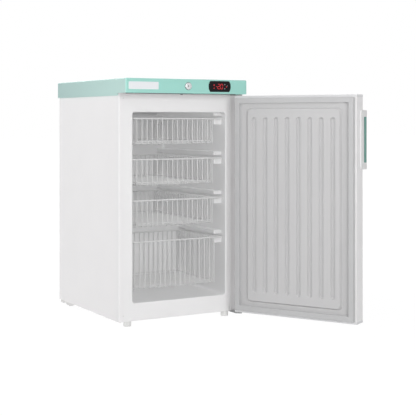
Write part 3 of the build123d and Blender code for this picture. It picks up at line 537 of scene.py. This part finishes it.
def makeScatterTree():
    # One small part stands on each point, turned to the way the point faces
    tree = bpy.data.node_groups.new("partOnPoints", "GeometryNodeTree")
    addSocket(tree, "Points", "NodeSocketGeometry")
    addSocket(tree, "Part", "NodeSocketObject")
    addSocket(tree, "Finish", "NodeSocketMaterial")
    addSocket(tree, "Parts", "NodeSocketGeometry", "OUTPUT")
    make = tree.nodes.new
    given = make("NodeGroupInput").outputs
    part = make("GeometryNodeObjectInfo")
    way = make("GeometryNodeInputNamedAttribute")
    way.data_type = "FLOAT_VECTOR"
    way.inputs["Name"].default_value = "facing"
    turn = make("FunctionNodeAlignRotationToVector")
    turn.axis = "Z"
    repeat = make("GeometryNodeInstanceOnPoints")
    real = make("GeometryNodeRealizeInstances")
    paint = make("GeometryNodeSetMaterial")
    result = make("NodeGroupOutput")
    linked(tree, given["Part"], part, "Object")
    linked(tree, way.outputs[0], turn, "Vector")
    linked(tree, given["Points"], repeat, "Points")
    linked(tree, part.outputs["Geometry"], repeat, "Instance")
    linked(tree, turn.outputs[0], repeat, "Rotation")
    linked(tree, repeat.outputs[0], real, "Geometry")
    linked(tree, real.outputs[0], paint, "Geometry")
    linked(tree, given["Finish"], paint, "Material")
    linked(tree, paint.outputs[0], result, "Parts")
    return tree


wireTree = makeWireTree()
scatterTree = makeScatterTree()


def evaluatedMesh(thing):
    bpy.context.view_layer.update()
    seen = thing.evaluated_get(bpy.context.evaluated_depsgraph_get())
    return bpy.data.meshes.new_from_object(seen)


def finishedMesh(work, name):
    mesh = bpy.data.meshes.new(name)
    work.to_mesh(mesh)
    work.free()
    return mesh


def treeResult(tree, source, values):
    # Runs a tree on a throwaway object and hands back the plain mesh
    holder = newObject("holder", source)
    modifier = holder.modifiers.new("rule", "NODES")
    modifier.node_group = tree
    for item in tree.interface.items_tree:
        if item.in_out == "INPUT" and item.name in values:
            modifier[item.identifier] = values[item.name]
    mesh = evaluatedMesh(holder)
    holder.modifiers.remove(modifier)
    bpy.data.objects.remove(holder)
    return mesh


def pathMesh(points, closed=False):
    mesh = bpy.data.meshes.new("path")
    count = len(points)
    edges = [(index, index + 1) for index in range(count - 1)]
    if closed:
        edges.append((count - 1, 0))
    mesh.from_pydata(points, edges, [])
    return mesh


def wireRow(points, radius, bend, finish, count=1, pitch=(0, 0, 0), closed=False):
    values = {
        "Wire Radius": radius, "Bend Radius": bend, "Count": count, "Pitch": pitch,
        "Finish": finishes[finish],
    }
    return treeResult(wireTree, pathMesh(points, closed), values)


def placedParts(part, points, facings, finish):
    mesh = bpy.data.meshes.new("points")
    mesh.from_pydata(points, [], [])
    facing = mesh.attributes.new("facing", "FLOAT_VECTOR", "POINT")
    for index, way in enumerate(facings):
        facing.data[index].vector = way
    result = treeResult(scatterTree, mesh, {"Part": part, "Finish": finishes[finish]})
    bpy.data.objects.remove(part)
    return result


def joinedPiece(name, meshes, body, replaced=()):
    # Several plain meshes become one closed, outward-facing piece that rides on a body
    work = bmesh.new()
    materials = []
    for mesh in meshes:
        offset = len(materials)
        materials += list(mesh.materials)
        start = len(work.faces)
        work.from_mesh(mesh)
        work.faces.ensure_lookup_table()
        for face in work.faces[start:]:
            face.material_index += offset
    bmesh.ops.remove_doubles(work, verts=work.verts, dist=mergeReach)
    bmesh.ops.recalc_face_normals(work, faces=work.faces)
    mesh = finishedMesh(work, name)
    for material in materials:
        mesh.materials.append(material)
    piece = newObject(name, mesh)
    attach(piece, body)
    if replaced:
        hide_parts(*replaced)
    return piece


# Wire baskets
basketWire = {
    "count": 4, "rimRadius": 2.5 * mm, "wireRadius": 1.5 * mm, "pitch": 19.9 * mm,
    "bend": 7 * mm, "rimBend": 9 * mm, "tieRise": 11 * mm, "crossInset": 8.5 * mm,
}


def evenPlaces(first, last, pitch):
    count = round((last - first) / pitch) + 1
    return count, (last - first) / (count - 1)


def wireBasket(number):
    rimLow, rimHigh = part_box(f"basket_{number}_rim")
    low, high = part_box(f"basket_{number}_wires")
    thick, thin = basketWire["rimRadius"], basketWire["wireRadius"]
    rimZ = (rimLow.z + rimHigh.z) / 2
    rimLeft, rimRight = rimLow.x + thick, rimHigh.x - thick
    front, rear = rimLow.y + thick, rimHigh.y - thick
    left, right = low.x + thin, high.x - thin
    floor = low.z + thin
    bend = basketWire["bend"]
    rim = [(rimLeft, front, rimZ), (rimRight, front, rimZ), (rimRight, rear, rimZ), (rimLeft, rear, rimZ)]
    meshes = [wireRow(rim, thick, basketWire["rimBend"], "wireCoat", closed=True)]
    # Long wires hang from the front rim, run under the floor and rise to the rear rim
    count, pitch = evenPlaces(left, right, basketWire["pitch"])
    top = rimZ - thick
    upright = [(left, front, top), (left, front, floor), (left, rear, floor), (left, rear, top)]
    meshes.append(wireRow(upright, thin, bend, "wireCoat", count, (pitch, 0, 0)))
    # Cross wires run in from the side rims, down the sides and over the floor
    inset = thick + basketWire["crossInset"]
    first, last = front + inset, rear - inset
    count, pitch = evenPlaces(first, last, basketWire["pitch"])
    cross = [
        (rimLeft, first, rimZ), (left, first, rimZ), (left, first, floor + 2 * thin),
        (right, first, floor + 2 * thin), (right, first, rimZ), (rimRight, first, rimZ),
    ]
    meshes.append(wireRow(cross, thin, bend, "wireCoat", count, (0, pitch, 0)))
    # One tie wire runs round the foot of the basket
    tie = floor + basketWire["tieRise"]
    near, far = front + 2 * thin, rear - 2 * thin
    start, end = left + 2 * thin, right - 2 * thin
    loop = [(start, near, tie), (end, near, tie), (end, far, tie), (start, far, tie)]
    meshes.append(wireRow(loop, thin, bend, "wireCoat", closed=True))
    joinedPiece(
        f"basket{number}Wires", meshes, f"basket_{number}",
        (f"basket_{number}_rim", f"basket_{number}_wires"),
    )


for number in range(1, basketWire["count"] + 1):
    wireBasket(number)
print("wire baskets made:", basketWire["count"])


# Refrigerant pipes, bent round where the solids have plain corners
pipeRuns = {
    "feed": {
        "radius": 3 * mm, "bend": 6 * mm, "points": [
            (-0.114, 0.5102, 0.0555), (-0.114, 0.5102, 0.0415), (-0.154, 0.5102, 0.0415),
            (-0.154, 0.5102, 0.2612),
        ],
    },
    "thin": {
        "radius": 1.4 * mm, "bend": 7 * mm, "points": [
            (-0.114, 0.5102, 0.1695), (-0.114, 0.5102, 0.1855), (-0.084, 0.5102, 0.1855),
            (-0.084, 0.5102, 0.2612),
        ],
    },
    "suction": {
        "radius": 4 * mm, "bend": 12 * mm, "points": [
            (0.1445, 0.4465, 0.0825), (0.169, 0.4465, 0.0825), (0.169, 0.4465, 0.2612),
        ],
    },
}


def bentPipes():
    meshes = [wireRow(run["points"], run["radius"], run["bend"], "copperTube") for run in pipeRuns.values()]
    joinedPiece("bentRefrigerantPipes", meshes, "cabinet", ("refrigerant_pipes",))


bentPipes()
print("pipes bent:", len(pipeRuns))


# Screws stand where the plain heads of the solids are, bolts on the compressor's grommets
screwHead = {
    "radius": 3.5 * mm, "rise": 2.1 * mm, "sides": 28, "flankShare": 0.25, "domeSteps": 5, "domeTurn": 75,
    "recessReach": 2.1 * mm, "recessWidth": 0.75 * mm, "recessDepth": 1.3 * mm, "recessOver": 1 * mm,
}
mountBolt = {
    "radius": 5 * mm, "rise": 4 * mm, "collar": 7 * mm, "collarRise": 1 * mm, "plateRise": 3 * mm,
    "crown": 0.5 * mm, "crownShare": 0.8, "sides": 12,
}


def solidBoxes(node):
    # The lowest and highest corner of each separate solid in a node
    work = bmesh.new()
    work.from_mesh(frame["nodes"][node].data)
    bmesh.ops.remove_doubles(work, verts=work.verts, dist=mergeReach)
    left = set(work.verts)
    boxes = []
    while left:
        queue = [left.pop()]
        island = []
        while queue:
            vert = queue.pop()
            island.append(vert.co.copy())
            near = {edge.other_vert(vert) for edge in vert.link_edges} & left
            left -= near
            queue += near
        low = Vector(min(spot[axis] for spot in island) for axis in range(3))
        high = Vector(max(spot[axis] for spot in island) for axis in range(3))
        boxes.append((low, high))
    work.free()
    return sorted(boxes, key=lambda box: tuple(box[0]))


def turnedSolid(name, profile, sides):
    # A profile of (radius, height) turned round Z and closed at both ends
    work = bmesh.new()
    rings = []
    for radius, height in profile:
        ring = []
        for step in range(sides):
            angle = 2 * math.pi * step / sides
            ring.append(work.verts.new((radius * math.cos(angle), radius * math.sin(angle), height)))
        rings.append(ring)
    for lower, upper in zip(rings, rings[1:]):
        for step in range(sides):
            after = (step + 1) % sides
            work.faces.new((lower[step], lower[after], upper[after], upper[step]))
    work.faces.new(rings[0][::-1])
    work.faces.new(rings[-1])
    return newObject(name, finishedMesh(work, name))


def crossSolid(reach, width, low, high):
    # Two crossed bars, the shape of a screwdriver's tip
    work = bmesh.new()
    for long, short in ((reach, width / 2), (width / 2, reach)):
        scale = Matrix.Diagonal((2 * long, 2 * short, high - low, 1))
        bmesh.ops.create_cube(work, size=1, matrix=Matrix.Translation((0, 0, (low + high) / 2)) @ scale)
    return newObject("cross", finishedMesh(work, "cross"))


def recessedHead():
    radius, rise, flank = screwHead["radius"], screwHead["rise"], screwHead["flankShare"]
    profile = [(radius, 0), (radius, rise * flank)]
    for step in range(1, screwHead["domeSteps"] + 1):
        angle = math.radians(screwHead["domeTurn"] * step / screwHead["domeSteps"])
        profile.append((radius * math.cos(angle), rise * (flank + (1 - flank) * math.sin(angle))))
    head = turnedSolid("screwHead", profile, screwHead["sides"])
    cross = crossSolid(
        screwHead["recessReach"], screwHead["recessWidth"],
        rise - screwHead["recessDepth"], rise + screwHead["recessOver"],
    )
    cut = head.modifiers.new("recess", "BOOLEAN")
    cut.operation = "DIFFERENCE"
    cut.object = cross
    cut.use_self = True
    mesh = evaluatedMesh(head)
    bpy.data.objects.remove(head)
    bpy.data.objects.remove(cross)
    return newObject("cutHead", mesh)


def screwPlaces(node, middle):
    # Each head lies flat on its seat: its thinnest way is its axis, and it faces away from the middle
    points, facings = [], []
    for low, high in solidBoxes(node):
        size, centre = high - low, (low + high) / 2
        axis = min(range(3), key=lambda index: size[index])
        sign = 1 if centre[axis] > middle[axis] else -1
        facing = [0, 0, 0]
        facing[axis] = sign
        centre[axis] -= sign * size[axis] / 2
        points.append(tuple(centre))
        facings.append(facing)
    return points, facings


def cabinetScrews():
    low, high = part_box("outer_case")
    points, facings = screwPlaces("cabinet_screws", (low + high) / 2)
    heads = placedParts(recessedHead(), points, facings, "zincPlate")
    joinedPiece("crossHeadScrews", [heads], "cabinet", ("cabinet_screws",))
    return len(points)


def compressorBolts():
    # Four bolts hold the compressor's plate down on its grommets
    radius, collar = mountBolt["radius"], mountBolt["collar"]
    low, high = mountBolt["collarRise"], mountBolt["rise"]
    crown = (radius * mountBolt["crownShare"], high + mountBolt["crown"])
    profile = [(collar, 0), (collar, low), (radius, low), (radius, high), crown]
    bolt = turnedSolid("bolt", profile, mountBolt["sides"])
    points = []
    for lowest, highest in solidBoxes("compressor_grommets"):
        middle = (lowest + highest) / 2
        points.append((middle.x, middle.y, highest.z + mountBolt["plateRise"]))
    bolts = placedParts(bolt, points, [(0, 0, 1)] * len(points), "zincPlate")
    joinedPiece("compressorBolts", [bolts], "cabinet", ())


# Painted shade on the fascia: a dark strip below it as painted shadow, a dark ring round the lock and a dark
# block in the key slot, both painted shade
fasciaShadowStrip = {"drop": 3.2 * mm, "depth": 3 * mm}
lockPaintedShade = {
    "inner": 11.95 * mm, "outer": 13.3 * mm, "rise": 1.2 * mm, "chamferShare": 0.5, "sides": 48,
    "slotWidth": 2.4 * mm, "slotHeight": 7 * mm, "slotProud": 0.25 * mm, "slotDepth": 1 * mm,
}
shadeBoxEdge = {"bevel": 0.3 * mm, "steps": 2}


def boxMesh(low, high, finish):
    work = bmesh.new()
    middle = (Vector(low) + Vector(high)) / 2
    scale = Matrix.Diagonal((high[0] - low[0], high[1] - low[1], high[2] - low[2], 1))
    bmesh.ops.create_cube(work, size=1, matrix=Matrix.Translation(middle) @ scale)
    bmesh.ops.bevel(
        work, geom=work.edges[:], offset=shadeBoxEdge["bevel"], segments=shadeBoxEdge["steps"], affect="EDGES",
        profile=0.5,
    )
    mesh = finishedMesh(work, "box")
    mesh.materials.append(finishes[finish])
    return mesh


def paintedFasciaShadow():
    # A dark strip under the fascia's edge: painted shadow
    low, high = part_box("fascia_tray")
    shadowStrip = boxMesh(
        (low.x, low.y, low.z - fasciaShadowStrip["drop"]), (high.x, low.y + fasciaShadowStrip["depth"], low.z), "paintedShadeGrey",
    )
    joinedPiece("fasciaEdgeStrip", [shadowStrip], "cabinet", ())


def paintedLockShade():
    # A dark ring round the lock housing: painted shade
    low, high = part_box("lock_housing")
    middle = (low + high) / 2
    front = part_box("lid_cover")[0].y
    inner, outer, rise = lockPaintedShade["inner"], lockPaintedShade["outer"], lockPaintedShade["rise"]
    chamfer = rise * lockPaintedShade["chamferShare"]
    profile = [(inner, 0), (outer, 0), (outer, chamfer), (outer - chamfer, rise), (inner, rise)]
    work = bmesh.new()
    rings = []
    for radius, height in profile:
        ring = []
        for step in range(lockPaintedShade["sides"]):
            angle = 2 * math.pi * step / lockPaintedShade["sides"]
            spot = (middle.x + radius * math.cos(angle), front - height, middle.z + radius * math.sin(angle))
            ring.append(work.verts.new(spot))
        rings.append(ring)
    for index, ring in enumerate(rings):
        following = rings[(index + 1) % len(rings)]
        for step in range(lockPaintedShade["sides"]):
            after = (step + 1) % lockPaintedShade["sides"]
            work.faces.new((ring[step], ring[after], following[after], following[step]))
    mesh = finishedMesh(work, "ring")
    mesh.materials.append(finishes["paintedShadeGrey"])
    joinedPiece("lockShadeRing", [mesh], "cabinet", ())


def keySlotPaintedShade():
    # A dark block in the keyhole: painted shade for its hollow
    low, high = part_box("lock_plug")
    middle = (low + high) / 2
    wide, tall = lockPaintedShade["slotWidth"] / 2, lockPaintedShade["slotHeight"] / 2
    front = low.y - lockPaintedShade["slotProud"]
    slot = boxMesh(
        (middle.x - wide, front, middle.z - tall),
        (middle.x + wide, front + lockPaintedShade["slotDepth"], middle.z + tall), "rubberBlack",
    )
    joinedPiece("keySlotShutter", [slot], "lock", ())


print("screws placed:", cabinetScrews())
paintedFasciaShadow()
paintedLockShade()
keySlotPaintedShade()
compressorBolts()


print("pieces ready")
